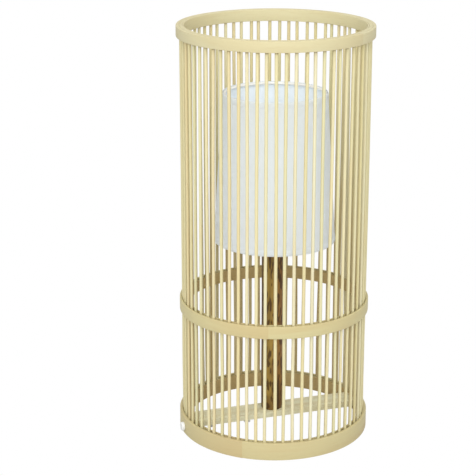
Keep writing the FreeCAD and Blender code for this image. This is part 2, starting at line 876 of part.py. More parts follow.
def make_terminals():
    screws = []
    for number, sign in enumerate(("", "- "), start=1):
        screw = turned_body("terminal_%d" % number, [
            ("0", "0"),
            ("terminal_head_radius", "0"),
            ("terminal_head_radius", "terminal_head_tall"),
            ("terminal_radius", "terminal_head_tall"),
            ("terminal_radius", "terminal_head_tall + terminal_depth"),
            ("0", "terminal_head_tall + terminal_depth"),
        ])
        low = "insert_low - glue_gap - terminal_head_tall"
        place(screw, sign + "terminal_offset", "0", low)
        slot = block(
            "terminal_slot_%d" % number, "terminal_slot_width",
            "2 * (terminal_head_radius + drill_over)", "terminal_slot_depth + drill_over",
            sign + "terminal_offset - terminal_slot_width / 2",
            "- terminal_head_radius - drill_over", low + " - drill_over")
        screws.append(cut_away("slotted_terminal_%d" % number, screw, [slot]))
    keep("terminal_screws", group("terminal_group", screws))


def make_holder_contacts():
    """The ribbed screw shell, and the domed centre contact on the insert."""
    outer = [("shell_radius", "0")]
    inner = []
    for rib in range(int(size("shell_ribs"))):
        middle = "(%g + 0.5) * shell_tall / shell_ribs" % rib
        high = "(%g + 1) * shell_tall / shell_ribs" % rib
        outer.append(("shell_radius + shell_wall", middle))
        outer.append(("shell_radius", high))
        inner.append(("shell_radius", middle))
        inner.append(("shell_radius - shell_wall", high))
    lip = "shell_radius - shell_wall"
    profile = [("terminal_offset", "0")] + outer + list(reversed(inner))
    profile += [(lip, "shell_wall"), ("terminal_offset", "shell_wall")]
    keep("holder_shell", place(turned_body("shell_turned", profile), z="shell_low"))
    contact = turned_body("contact_turned", [
        ("0", "0"),
        ("contact_radius", "0"),
        ("contact_radius", "0.4 * contact_tall"),
        ("0.5 * contact_radius", "contact_tall"),
        ("0", "contact_tall"),
    ])
    keep("holder_contact", place(contact, z="contact_low"))


# The shade and the ring that holds it down

def make_shade_cover():
    cover = turned_body("cover_turned", [
        ("shade_lower_radius - shade_thick", "0"),
        ("shade_lower_radius", "0"),
        ("shade_upper_radius", "shade_tall"),
        ("shade_upper_radius - shade_thick", "shade_tall"),
    ])
    keep("shade_cover", place(cover, z="shade_low"))


def make_top_wire():
    wire = doc.addObject("Part::Torus", "top_wire_torus")
    bind(wire, "Radius1", "upper_wire_circle")
    bind(wire, "Radius2", "shade_wire_radius")
    keep("shade_top_wire", place(wire, z="upper_wire_level"))


def make_carrier():
    """The welded lower frame: fitter with its rim, arms down to the bottom wire."""
    body = doc.addObject("PartDesign::Body", "carrier")
    rim_low = "fitter_low - shade_low - fitter_rim_tall + fitter_thick"
    spin(body, draw(body, "fitter_outline", [
        ("fitter_bore_radius", "fitter_low - shade_low"),
        ("fitter_radius - fitter_rim_thick", "fitter_low - shade_low"),
        ("fitter_radius - fitter_rim_thick", rim_low),
        ("fitter_radius", rim_low),
        ("fitter_radius", "fitter_top - shade_low"),
        ("fitter_bore_radius", "fitter_top - shade_low"),
    ]))
    inner_end = "fitter_radius - fitter_rim_thick / 2"
    inner_level = rim_low + " + 0.6 * arm_thick"
    outer_level = "wire_level - shade_low - arm_thick / 2"
    arm_sketch = draw(body, "arm_outline", [
        (inner_end, inner_level),
        ("wire_circle", outer_level),
        ("wire_circle", outer_level + " + arm_thick"),
        (inner_end, inner_level + " + arm_thick"),
    ])
    arm = body.newObject("PartDesign::Pad", "arm")
    arm.Profile = arm_sketch
    arm.Midplane = True
    bind(arm, "Length", "arm_width")
    doc.recompute()
    arms = body.newObject("PartDesign::PolarPattern", "arms")
    arms.Originals = [arm]
    arms.Axis = (origin_part(body, "Z_Axis"), [""])
    arms.Angle = 360
    bind(arms, "Occurrences", "arm_count")
    body.Tip = arms
    doc.recompute()
    add_bottom_wire(body)
    keep("shade_carrier", place(body, z="shade_low"))


def add_bottom_wire(body):
    """Spin the wire's round section, and make it the carrier's last feature."""
    sketch = blank_sketch(body, "wire_section")
    rules = ("wire_circle", "wire_level - shade_low")
    centre = FreeCAD.Vector(measure(rules[0]), measure(rules[1]), 0)
    radius = size("shade_wire_radius")
    sketch.addGeometry(Part.Circle(centre, FreeCAD.Vector(0, 0, 1), radius), False)
    for kind, rule, value in (("DistanceX", rules[0], centre.x), ("DistanceY", rules[1], centre.y)):
        index = sketch.addConstraint(Sketcher.Constraint(kind, -1, 1, 0, 3, value))
        sketch.setExpression("Constraints[%d]" % index, formula(rule))
    index = sketch.addConstraint(Sketcher.Constraint("Radius", 0, radius))
    sketch.setExpression("Constraints[%d]" % index, formula("shade_wire_radius"))
    body.Tip = spin(body, sketch)


def make_shade_ring():
    """The flanged ring that screws down on the sleeve, with finger notches in its rim."""
    ring = turned_body("ring_turned", [
        ("ring_bore_radius", "0"),
        ("ring_radius", "0"),
        ("ring_radius", "ring_flange_thick"),
        ("ring_collar_radius", "ring_flange_thick"),
        ("ring_collar_radius", "ring_tall"),
        ("ring_bore_radius", "ring_tall"),
    ])
    place(ring, z="ring_low")
    notches = []
    reach = "(ring_radius + ring_notch_out)"
    for number in range(int(size("ring_notches"))):
        angle = "(%g * 360 / ring_notches)" % number
        notches.append(cylinder(
            "notch_%d" % (number + 1), "ring_notch_radius", "ring_flange_thick + 2 * drill_over",
            reach + " * cos" + angle, reach + " * sin" + angle, "ring_low - drill_over"))
    keep("shade_ring", cut_away("ring_notched", ring, notches))


# The lamp that screws into the holder

def make_bulb_base():
    """Contact, insulator and threaded cap."""
    contact_top = "bulb_contact_tall - bulb_contact_sink - glue_gap"
    contact = turned_body("bulb_contact_turned", [
        ("0", "0"),
        ("0.6 * bulb_contact_radius", "0"),
        ("bulb_contact_radius", "0.5 * bulb_contact_tall"),
        ("bulb_contact_radius", contact_top),
        ("0", contact_top),
    ])
    keep("bulb_contact", place(contact, z="bulb_low"))
    insulator_top = "bulb_insulator_tall - glue_gap"
    insulator = turned_body("bulb_insulator_turned", [
        ("0", "0"),
        ("1.2 * bulb_contact_radius", "0"),
        ("bulb_cap_foot_radius", "0.8 * bulb_insulator_tall"),
        ("bulb_cap_foot_radius", insulator_top),
        ("0", insulator_top),
    ])
    keep("bulb_insulator", place(insulator, z="bulb_insulator_low"))
    bore = "bulb_cap_radius - bulb_thread_depth - bulb_cap_wall"
    cap_top = "bulb_cap_tall - glue_gap"
    profile = [("0", "0"), ("bulb_cap_foot_radius", "0")]
    profile += fluted(
        "bulb_cap_floor", cap_top, "bulb_cap_radius", "bulb_thread_depth",
        "bulb_thread_pitch", int(size("bulb_threads")))
    profile += [(bore, cap_top), (bore, "bulb_cap_floor"), ("0", "bulb_cap_floor")]
    keep("bulb_cap", place(turned_body("bulb_cap_turned", profile), z="bulb_cap_low"))


def make_bulb_body():
    """The housing that widens from the cap to the globe, with its driver and LED boards."""
    shoulder = "0.72 * bulb_body_tall"
    rim = "bulb_body_tall - glue_gap"
    inside = "bulb_globe_radius - bulb_body_wall"
    housing = turned_body("housing_turned", [
        ("bulb_cap_radius - bulb_body_wall", "0"),
        ("bulb_cap_radius + bulb_collar", "0"),
        ("bulb_cap_radius + bulb_collar + bulb_collar_flare", "bulb_collar_tall"),
        ("bulb_globe_radius - bulb_shoulder", shoulder),
        ("bulb_globe_radius", rim),
        (inside, rim),
        (inside + " - bulb_shoulder", shoulder),
        ("bulb_cap_radius - bulb_body_wall", "bulb_collar_tall"),
    ])
    keep("bulb_body", place(housing, z="bulb_body_low"))
    led = turned_body("led_turned", ring_outline(
        "led_board_bore", inside + " - led_board_gap", "led_board_thick"))
    keep("led_board", place(led, z="bulb_globe_low - led_board_thick - led_board_drop"))
    driver = block(
        "driver_plate", "driver_width", "driver_thick", "0.6 * bulb_body_tall",
        "- driver_width / 2", "- driver_thick / 2", "bulb_body_low + 0.1 * bulb_body_tall")
    keep("bulb_driver", driver)


def make_bulb_globe():
    """The frosted candle globe: two curves of one egg-shaped outline, made hollow."""
    body = doc.addObject("PartDesign::Body", "globe")
    outer = ("bulb_globe_radius", "bulb_globe_tall")
    wall = "bulb_globe_wall"
    inner = ("(bulb_globe_radius - %s)" % wall, "(bulb_globe_tall - %s)" % wall)
    profile = egg_outline(outer, rising=True) + egg_outline(inner, rising=False)
    spin(body, draw(body, "globe_outline", profile))
    keep("bulb_globe", place(body, z="bulb_globe_low"))


def egg_outline(radius_and_tall, rising):
    """Corners of one side of a candle shape, from its rim to its tip."""
    radius, tall = radius_and_tall
    corners = [(radius, "0")]
    for step in range(1, EGG_STEPS):
        turn = math.pi / 2 * step / EGG_STEPS
        across = "%s * %.5f" % (radius, math.cos(turn) ** EGG_POWER)
        up = "%s * %.5f" % (tall, math.sin(turn))
        corners.append((across, up))
    corners.append(("0", tall))
    return corners if rising else list(reversed(corners))


def check_document():
    """Stop if any object failed, or any piece is not a sound solid."""
    for item in doc.Objects:
        if "Invalid" in item.State or "Error" in item.State:
            raise ValueError("%s (%s) failed: %s" % (item.Name, item.Label, item.State))
    for label, item in nodes.items():
        shape = item.Shape
        if shape.isNull() or not shape.isValid() or not shape.Solids:
            raise ValueError("%s has no sound shape" % label)


def write_steps():
    os.makedirs("parts", exist_ok=True)
    for label, item in nodes.items():
        item.Shape.exportStep("parts/%s.step" % label)


sheet = make_sheet()
places = make_places()
make_hoops()
make_bottom_hoops()
make_rods()
make_board()
make_board_nails()
make_bush()
make_lead()
make_cores()
make_clips()
make_post()
make_post_screws()
make_nipple()
make_holder_cap()
make_holder_sleeve()
make_holder_insert()
make_terminals()
make_holder_contacts()
make_shade_cover()
make_top_wire()
make_carrier()
make_shade_ring()
make_bulb_base()
make_bulb_body()
make_bulb_globe()
doc.recompute()
check_document()
write_steps()
print("%d pieces written" % len(nodes))
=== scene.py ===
import json
import math
import random

import bmesh
import bpy
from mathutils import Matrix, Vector

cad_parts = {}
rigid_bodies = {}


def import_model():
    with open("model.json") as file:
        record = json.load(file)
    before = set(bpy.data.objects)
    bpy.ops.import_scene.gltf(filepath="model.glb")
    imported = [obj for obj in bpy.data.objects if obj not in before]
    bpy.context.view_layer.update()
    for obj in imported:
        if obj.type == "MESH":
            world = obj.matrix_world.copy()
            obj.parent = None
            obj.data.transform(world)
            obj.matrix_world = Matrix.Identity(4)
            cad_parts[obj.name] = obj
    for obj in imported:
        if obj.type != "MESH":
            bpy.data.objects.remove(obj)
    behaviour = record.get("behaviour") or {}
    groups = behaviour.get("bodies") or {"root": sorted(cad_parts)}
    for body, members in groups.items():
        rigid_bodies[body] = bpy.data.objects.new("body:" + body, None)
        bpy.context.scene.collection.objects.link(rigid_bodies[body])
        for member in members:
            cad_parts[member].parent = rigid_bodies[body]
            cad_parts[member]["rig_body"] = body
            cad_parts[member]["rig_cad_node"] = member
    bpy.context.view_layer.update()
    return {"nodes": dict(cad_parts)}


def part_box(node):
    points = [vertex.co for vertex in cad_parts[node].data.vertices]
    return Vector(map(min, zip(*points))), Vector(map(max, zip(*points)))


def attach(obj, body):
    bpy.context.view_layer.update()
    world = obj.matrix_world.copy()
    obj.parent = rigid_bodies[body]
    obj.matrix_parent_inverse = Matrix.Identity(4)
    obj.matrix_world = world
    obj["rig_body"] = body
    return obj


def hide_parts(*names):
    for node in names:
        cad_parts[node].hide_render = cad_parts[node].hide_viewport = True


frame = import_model()

# A bamboo cage lamp, in metres, in the CAD frame: +Z up, the cross board along X.

MM = 0.001
TURN = 2 * math.pi
CAMERA_SIDE = math.radians(-109.4)       # the side of the cage that faces the camera
CAMERA_RIGHT = (-math.sin(CAMERA_SIDE), math.cos(CAMERA_SIDE))

ROD_COUNT = 63
RODS_PER_NODE = 3
ROD_DIAMETER = 3.5 * MM
ROD_NUMBER = "rod_number"                # the mesh attribute that tells the rods apart
GLUE_GAP = 0.05 * MM
BUSH_SIDE = math.pi                      # the cable bush is at -X
BUSH_ROOM = 0.8 * MM                     # how far the two rods beside the bush stand aside
FRONT_SPREAD = 0.5 * MM                  # how unevenly the rods stand, in front and behind
BACK_SPREAD = 1.3 * MM
BACK_DRIFT = 0.03                        # the back rods drift away from the middle of the back
ROD_SIDES = 12
ROD_RINGS = 46
BOW_OUT = 0.35 * MM                      # how far a rod may bow out or in, and aside, between hoops
BOW_ASIDE = 0.4 * MM
ROD_END_GIRTH = 0.86                     # the share of its girth that a rod keeps at its cut ends

SEAMS = {                                # where each hoop's outer strip ends
    "top": math.radians(-52),
    "middle": math.radians(-112.4),
    "bottom": math.radians(-127.6),
}
LAP = 38 * MM                            # how far a strip's tapered ends lie over each other
BLUNT = 0.16                             # the share of its thickness that a tapered end keeps
LAP_GAP = 0.04 * MM                      # between the two ends where they lap
LAP_PROUD = 0.12 * MM                    # how far the upper end stands proud
STRIP_STEPS = 240
STRIP_WAVE = 0.08 * MM
EDGE_WAVE = 0.12 * MM
STRIP_EASE = 0.5 * MM
FILLER_EASE = 0.3 * MM

POST_SWELL = 0.35 * MM                   # the culm is a little stouter than a true cylinder
POST_ASIDE = 1.6 * MM                    # and stands a little to the camera's left
POST_EASE = 0.5 * MM
POST_EASE_REACH = 0.6 * MM
POST_UNEVEN = 0.12 * MM
POST_DIP = 1.2                           # draws the uneven girth inward, in heights of its waves
POST_SIDES = 64
POST_LEVELS = 70

SHADE_TAPER = 9.5 * MM
SHADE_INSET = 0.3 * MM
FABRIC_THICK = 0.55 * MM
SLACK_WAVE = 0.22 * MM                   # how unevenly the fabric lies between its wires
SLACK_RIPPLE = 0.12 * MM
SLACK_DIP = 0.25 * MM
HEM = 5.5 * MM
HEM_STEP = 0.35 * MM
HEM_PROUD = 0.15 * MM
ROLL = 0.3 * MM                          # how far the fabric rolls in at its very edge
ROLL_REACH = 0.7 * MM
# Heights of the fabric's rows, from its edge and from its hem line.
EDGE_ROWS = (0.0, 0.25 * MM, 0.7 * MM, 2.2 * MM)
HEM_ROWS = (-0.5 * MM, -0.2 * MM, 0.1 * MM, 0.8 * MM)
SHADE_SEAM = CAMERA_SIDE + math.pi * 0.9
SEAM_PROUD = 0.35 * MM
SEAM_EDGE = (4.2 * MM, 4.6 * MM)         # where the seam's overlap steps down
SHADE_STEPS = 288
SHADE_ROWS = 40
THREAD = 0.55 * MM                       # from one thread of the weave to the next
WARP_THREADS = 700

GLOBE_WALL = 0.9 * MM
GLOBE_POINT = 1.12                       # above 1, the globe is more pointed than an egg
GLOBE_TIP = 0.02 * MM
GLOBE_STEPS = 30
GLOBE_SIDES = 72

WELD = 0.002 * MM                        # for the eased copies of CAD nodes
FLAT_ANGLE = math.radians(0.5)
HARD_ANGLE = math.radians(35)

WORLD_LIGHT = 0.66                       # strength of the white surroundings
FLOOR_HALF = 6.0
FLOOR_TONE = (0.75, 0.75, 0.75, 1)
LIGHT_AIM = Vector((0, 0, 0.22))         # the middle of the lamp
LIGHTS = (
    # name, azimuth, elevation, distance, size, power
    ("key", -22, 36, 2.2, 2.4, 35),
    ("top", -10, 80, 2.0, 1.0, 5),
)
FILL_POWER = 0.021
FILL_RADIUS = 15 * MM
FILL_DEPTH = 12 * MM                     # how far the fill hangs below the shade's top

CAMERA_PLACE = Vector((-0.5080, -1.4426, 0.6849))
CAMERA_ASIDE = math.radians(1.412)       # how far left of the axis, and how far down, it looks
CAMERA_DIP = math.radians(17.38)
CAMERA_SENSOR = 36
CAMERA_LENS = 116.45


# Small tools for reading the frame and for making meshes

def span(node):
    """Least and greatest radius from the lamp's axis, and least and greatest height, of a CAD node."""
    radii = []
    heights = []
    for vertex in frame["nodes"][node].data.vertices:
        radii.append(math.hypot(vertex.co.x, vertex.co.y))
        heights.append(vertex.co.z)
    return min(radii), max(radii), min(heights), max(heights)


def polar(radius, angle, height):
    """A point at a radius and an angle round the lamp's axis."""
    return (radius * math.cos(angle), radius * math.sin(angle), height)


def smoothstep(low, high, value):
    """0 below low, 1 above high, smooth between."""
    share = min(1.0, max(0.0, (value - low) / (high - low)))
    return share * share * (3 - 2 * share)


def slow_wave(rng, terms=4):
    """A smooth random function of one turn, about -1 to 1."""
    waves = [(k + 1, rng.uniform(0, TURN), rng.uniform(0.4, 1.0) / (k + 1)) for k in range(terms)]
    total = sum(w[2] for w in waves)
    return lambda angle: sum(w * math.sin(k * angle + p) for k, p, w in waves) / total


def skin(rings, wrap, capped):
    """Faces between consecutive rings of equal length, closed into a loop or capped at both ends."""
    count = len(rings[0])
    points = [point for ring in rings for point in ring]
    faces = []
    last = len(rings) if wrap else len(rings) - 1
    for i in range(last):
        near = i * count
        far = (i + 1) % len(rings) * count
        for j in range(count):
            k = (j + 1) % count
            faces.append((near + j, near + k, far + k, far + j))
    if capped:
        faces.append(tuple(reversed(range(count))))
        faces.append(tuple(range(len(points) - count, len(points))))
    return points, faces


def finish_mesh(piece, sharp_degrees):
    """Outward faces, smooth shading, and sharp edges only where the surface really turns."""
    mesh = piece.data
    work = bmesh.new()
    work.from_mesh(mesh)
    bmesh.ops.recalc_face_normals(work, faces=work.faces)
    work.to_mesh(mesh)
    work.free()
    mesh.shade_smooth()
    mesh.set_sharp_from_angle(angle=math.radians(sharp_degrees))
    mesh.update()


def add_piece(name, points, faces, material, body, replaced=(), sharp_degrees=40):
    """A new piece from points and faces, dressed and riding on its body."""
    mesh = bpy.data.meshes.new(name)
    mesh.from_pydata(points, [], faces)
    piece = bpy.data.objects.new(name, mesh)
    bpy.context.scene.collection.objects.link(piece)
    finish_mesh(piece, sharp_degrees)
    return dress(piece, material, body, replaced)


def dress(piece, material, body, replaced):
    """Give a piece its material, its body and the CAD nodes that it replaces."""
    piece.data.materials.clear()
    piece.data.materials.append(material)
    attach(piece, body)
    if replaced:
        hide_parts(*replaced)
    return piece


def lathe(name, outline, steps, material, body, replaced=(), sharp_degrees=40):
    """Spin a closed (radius, height) outline about the lamp's axis."""
    rings = []
    for step in range(steps):
        angle = TURN * step / steps
        rings.append([polar(radius, angle, height) for radius, height in outline])
    points, faces = skin(rings, wrap=True, capped=False)
    return add_piece(name, points, faces, material, body, replaced, sharp_degrees)


def eased_copy(node, name, width, material, body):
    """A copy of a CAD node's own mesh with its hard edges rounded, shown in the node's place."""
    piece = frame["nodes"][node].copy()
    piece.data = frame["nodes"][node].data.copy()
    piece.name = name
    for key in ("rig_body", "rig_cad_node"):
        if key in piece:
            del piece[key]
    piece.parent = None
    bpy.context.scene.collection.objects.link(piece)
    work = bmesh.new()
    work.from_mesh(piece.data)
    bmesh.ops.remove_doubles(work, verts=work.verts, dist=WELD)
    bmesh.ops.dissolve_limit(work, angle_limit=FLAT_ANGLE, verts=work.verts, edges=work.edges)
    hard = [edge for edge in work.edges
            if len(edge.link_faces) == 2 and edge.calc_face_angle() > HARD_ANGLE]
    bmesh.ops.bevel(
        work, geom=hard, offset=width, segments=2, profile=0.6, affect="EDGES",
        clamp_overlap=True)
    bmesh.ops.triangulate(work, faces=[face for face in work.faces if len(face.verts) > 4])
    work.to_mesh(piece.data)
    work.free()
    finish_mesh(piece, 32)
    return dress(piece, material, body, (node,))


# Materials

def srgb(red, green, blue):
    """A colour given as 0 to 255 display values, as linear RGBA."""
    def linear(value):
        share = value / 255
        return share / 12.92 if share <= 0.04045 else ((share + 0.055) / 1.055) ** 2.4
    return (linear(red), linear(green), linear(blue), 1.0)


class Nodes:
    """A material under construction, with short ways to add its nodes."""

    def __init__(self, name, roughness, **fixed):
        self.material = bpy.data.materials.new(name)
        self.material.use_nodes = True
        self.tree = self.material.node_tree
        self.shader = self.tree.nodes["Principled BSDF"]
        self.shader.inputs["Roughness"].default_value = roughness
        for socket, value in fixed.items():
            self.shader.inputs[socket.replace("_", " ")].default_value = value

    def add(self, kind, inputs, **settings):
        """A node of a kind: each input is linked if it is a socket, or else set."""
        node = self.tree.nodes.new(kind)
        for key, value in settings.items():
            setattr(node, key, value)
        for key, value in inputs.items():
            if isinstance(value, bpy.types.NodeSocket):
                self.tree.links.new(value, node.inputs[key])
            else:
                node.inputs[key].default_value = value
        return node

    def math(self, operation, first, second=0.0):
        return self.add("ShaderNodeMath", {0: first, 1: second}, operation=operation).outputs[0]

    def place(self):
        return self.add("ShaderNodeTexCoord", {}).outputs["Object"]

    def split(self, vector):
        return self.add("ShaderNodeSeparateXYZ", {0: vector}).outputs

    def join(self, x, y, z):
        return self.add("ShaderNodeCombineXYZ", {0: x, 1: y, 2: z}).outputs[0]

    def noise(self, vector, scale, detail=3.0, roughness=0.55):
        return self.add("ShaderNodeTexNoise", {
            "Vector": vector, "Scale": scale, "Detail": detail, "Roughness": roughness,
        }).outputs["Fac"]

    def scaled(self, vector, x, y, z):
        """A place multiplied along each axis: a noise read there is drawn out where the number is small."""
        return self.add("ShaderNodeVectorMath", {0: vector, 1: (x, y, z)}, operation="MULTIPLY").outputs[0]

    def white_noise(self, number):
        return self.add("ShaderNodeTexWhiteNoise", {"W": number}, noise_dimensions="1D").outputs["Value"]

    def ramp(self, factor, stops):
        """A colour ramp through (position, colour) stops."""
        node = self.add("ShaderNodeValToRGB", {"Fac": factor})
        elements = node.color_ramp.elements
        while len(elements) < len(stops):
            elements.new(0.5)
        for element, (position, colour) in zip(elements, stops):
            element.position = position
            element.color = colour
        return node.outputs["Color"]

    def grey_ramp(self, factor, low, high):
        """0 below low, 1 above high, smooth between."""
        return self.add("ShaderNodeMapRange", {
            "Value": factor, "From Min": low, "From Max": high,
        }, interpolation_type="SMOOTHSTEP").outputs["Result"]

    def mix(self, factor, first, second):
        """From the first colour at 0 to the second at 1."""
        node = self.add("ShaderNodeMix", {}, data_type="RGBA")
        for index, value in ((0, factor), (6, first), (7, second)):
            if isinstance(value, bpy.types.NodeSocket):
                self.tree.links.new(value, node.inputs[index])
            else:
                node.inputs[index].default_value = value
        return node.outputs[2]

    def tint(self, tone, factor, strength, colour):
        """A tone with a colour laid over it where the factor is high."""
        return self.mix(self.math("MULTIPLY", factor, strength), tone, colour)

    def colour(self, socket):
        self.tree.links.new(socket, self.shader.inputs["Base Color"])

    def rough(self, factor, low, high):
        """Roughness that follows a factor, from low at 0 to high at 1."""
        value = self.add("ShaderNodeMapRange", {
            "Value": factor, "To Min": low, "To Max": high}).outputs["Result"]
        self.tree.links.new(value, self.shader.inputs["Roughness"])

    def bump(self, height, distance, strength=1.0):
        node = self.add("ShaderNodeBump", {
            "Height": height, "Distance": distance, "Strength": strength})
        self.tree.links.new(node.outputs["Normal"], self.shader.inputs["Normal"])


def round_coordinates(nodes, zero_angle):
    """Angle (0 to 1 from zero_angle), radius and height round the lamp's axis."""
    turned = nodes.add("ShaderNodeMapping", {
        "Vector": nodes.place(), "Rotation": (0, 0, math.pi - zero_angle)}, vector_type="POINT")
    x, y, z = nodes.split(turned.outputs[0])
    angle = nodes.math("ARCTAN2", y, x)
    share = nodes.math("ADD", nodes.math("DIVIDE", angle, TURN), 0.5)
    radius = nodes.math("SQRT", nodes.math(
        "ADD", nodes.math("MULTIPLY", x, x), nodes.math("MULTIPLY", y, y)))
    return share, radius, z


def strip_bamboo(name, seam, tones, pith_and_shade=None):
    """A bent bamboo strip: fibres run round the hoop, and the tone drifts along the strip."""
    pale, warm, streak = tones
    nodes = Nodes(name, 0.5, Specular_IOR_Level=0.35)
    share, radius, z = round_coordinates(nodes, seam)
    unrolled = nodes.join(share, radius, z)
    fibre = nodes.noise(nodes.scaled(unrolled, 28.0, 900.0, 1500.0), 1.0, 5.0, 0.62)
    drift = nodes.noise(nodes.scaled(unrolled, 5.6, 0.0, 60.0), 1.0, 2.0)
    streaks = nodes.grey_ramp(fibre, 0.52, 0.74)
    tone = nodes.tint(pale, nodes.grey_ramp(drift, 0.46, 0.7), 0.5, warm)
    tone = nodes.tint(tone, nodes.grey_ramp(share, 0.86, 1.0), 0.6, warm)
    tone = nodes.tint(tone, streaks, 0.45, streak)
    # the inner face's brown is real pith and painted shade: only the middle and bottom linings get it
    if pith_and_shade:
        pale_pith_and_shade, dark_pith_and_shade = pith_and_shade
        tone = nodes.mix(inward(nodes), tone, nodes.tint(pale_pith_and_shade, streaks, 0.5, dark_pith_and_shade))
    nodes.colour(tone)
    nodes.rough(fibre, 0.4, 0.62)
    nodes.bump(fibre, 0.12 * MM, 0.5)
    return nodes.material


def outward_facing(nodes):
    """How a surface faces the outside of the cage: 1 outward, 0 along the cage, -1 to the lamp's axis."""
    normal = nodes.add("ShaderNodeTexCoord", {}).outputs["Normal"]
    x, y, _ = nodes.split(nodes.place())
    outward = nodes.add("ShaderNodeVectorMath", {0: nodes.join(x, y, 0.0)}, operation="NORMALIZE")
    facing = nodes.add(
        "ShaderNodeVectorMath", {0: normal, 1: outward.outputs[0]}, operation="DOT_PRODUCT")
    return facing.outputs["Value"]


def inward(nodes):
    """How much a surface faces the lamp's axis, 0 to 1."""
    return nodes.grey_ramp(nodes.math("MULTIPLY", outward_facing(nodes), -1.0), 0.0, 0.6)


def shade_beside_hoops(nodes, z):
    """Painted shadow: a thin dark line on the rods just under the top hoop, and a fainter one under and over
    the middle hoop, 0 to 1.
    """
    top = span("top_outer_hoop")[2]
    middle_low, middle_high = span("middle_outer_hoop")[2:]
    total = 0.0
    for edge, reach, share in (
        (top, -2.6 * MM, 1.0), (middle_low, -1.2 * MM, 0.4), (middle_high, 1.0 * MM, 0.25),
    ):
        near = nodes.grey_ramp(z, edge + reach, edge)
        far = nodes.grey_ramp(z, edge - reach * 0.6, edge)
        line = nodes.math("MULTIPLY", nodes.math("MULTIPLY", near, far), share)
        total = nodes.math("ADD", line, total)
    return total


ROD_TONES = (
    (0.00, srgb(229, 220, 178)),
    (0.25, srgb(223, 213, 161)),
    (0.45, srgb(230, 225, 192)),
    (0.62, srgb(224, 206, 154)),
    (0.72, srgb(230, 222, 178)),
    (0.88, srgb(217, 213, 169)),
    (1.00, srgb(225, 211, 160)),
)
ROD_STREAK = srgb(212, 192, 142)
ROD_BLOTCH = srgb(226, 202, 150)
# pith colours of the rods' inner side, also painted shade on the lower rods
ROD_PITH_AND_SHADE = srgb(196, 172, 118)
ROD_PITH_AND_SHADE_STREAK = srgb(156, 130, 80)
# painted shade on the rods' flanks
ROD_FLANK_SHADE = srgb(158, 134, 82)
# painted shadow that the hoops cast on the rods
ROD_HOOP_SHADOW = srgb(120, 92, 44)
BOARD_PALE = srgb(244, 242, 210)
BOARD_WARM = srgb(236, 228, 188)
BOARD_GRAIN = srgb(204, 186, 138)
CULM_TAN = (srgb(178, 146, 70), srgb(148, 118, 52))
CULM_RED = (srgb(160, 116, 56), srgb(124, 84, 36))
CULM_STAIN = srgb(112, 78, 38)
# dark of the culm's blotches, also used for the painted shade down its left edge
CULM_DARK = srgb(74, 48, 18)
FABRIC_WHITE = srgb(236, 244, 251)
FABRIC_PALE = srgb(241, 248, 253)
FABRIC_SLUB = srgb(226, 234, 239)


def rod_bamboo():
    """Split rods: every rod has its own tone, with the fibres along it and a darker pith side whose brown is
    partly painted shade, stronger lower down; also painted shade on the flanks and painted shadow under the
    hoops.
    """
    nodes = Nodes("bamboo rods", 0.48, Specular_IOR_Level=0.35)
    number = nodes.add("ShaderNodeAttribute", {}, attribute_name=ROD_NUMBER).outputs["Fac"]
    place = nodes.place()
    z = nodes.split(place)[2]
    fibre = nodes.noise(nodes.scaled(place, 1500.0, 1500.0, 28.0), 1.0, 4.0, 0.6)
    blotch = nodes.noise(nodes.scaled(nodes.join(number, 0.0, z), 7.3, 0.0, 16.0), 1.0, 2.0)
    streaks = nodes.grey_ramp(fibre, 0.5, 0.72)
    tone = nodes.ramp(nodes.white_noise(number), ROD_TONES)
    tone = nodes.tint(tone, streaks, 0.35, ROD_STREAK)
    tone = nodes.tint(tone, nodes.grey_ramp(blotch, 0.5, 0.75), 0.3, ROD_BLOTCH)
    pith_and_shade = nodes.tint(ROD_PITH_AND_SHADE, streaks, 0.6, ROD_PITH_AND_SHADE_STREAK)
    pith_and_shade_strength = nodes.white_noise(nodes.math("ADD", number, 0.37))
    # the pith side's brown is real pith and painted shade: strongest below 0.18 m, fading out by 0.3 m, and a
    # little everywhere
    lower = nodes.math("MULTIPLY", nodes.grey_ramp(z, 0.3, 0.18), pith_and_shade_strength)
    tone = nodes.mix(nodes.math("MULTIPLY", inward(nodes), nodes.math("ADD", lower, 0.1)), tone, pith_and_shade)
    # painted shade: the rods darken on their flanks, where they face along the cage
    flank_shade = nodes.grey_ramp(nodes.math("ABSOLUTE", outward_facing(nodes)), 0.62, 0.12)
    tone = nodes.tint(tone, flank_shade, 0.2, ROD_FLANK_SHADE)
    # painted shadow: the rods darken in a thin line just under and beside the hoops
    tone = nodes.tint(tone, shade_beside_hoops(nodes, z), 0.75, ROD_HOOP_SHADOW)
    nodes.colour(tone)
    nodes.rough(fibre, 0.4, 0.6)
    nodes.bump(fibre, 0.1 * MM, 0.5)
    return nodes.material


def board_wood():
    """A planed pale plank with long grain along X."""
    nodes = Nodes("board wood", 0.6, Specular_IOR_Level=0.3)
    place = nodes.place()
    grain = nodes.noise(nodes.scaled(place, 14.0, 420.0, 420.0), 1.0, 5.0, 0.6)
    band = nodes.noise(nodes.scaled(place, 5.0, 90.0, 0.0), 1.0, 2.0)
    tone = nodes.mix(nodes.grey_ramp(band, 0.35, 0.7), BOARD_PALE, BOARD_WARM)
    tone = nodes.tint(tone, nodes.grey_ramp(grain, 0.5, 0.7), 0.5, BOARD_GRAIN)
    nodes.colour(tone)
    nodes.rough(grain, 0.5, 0.7)
    nodes.bump(grain, 0.15 * MM, 0.5)
    return nodes.material


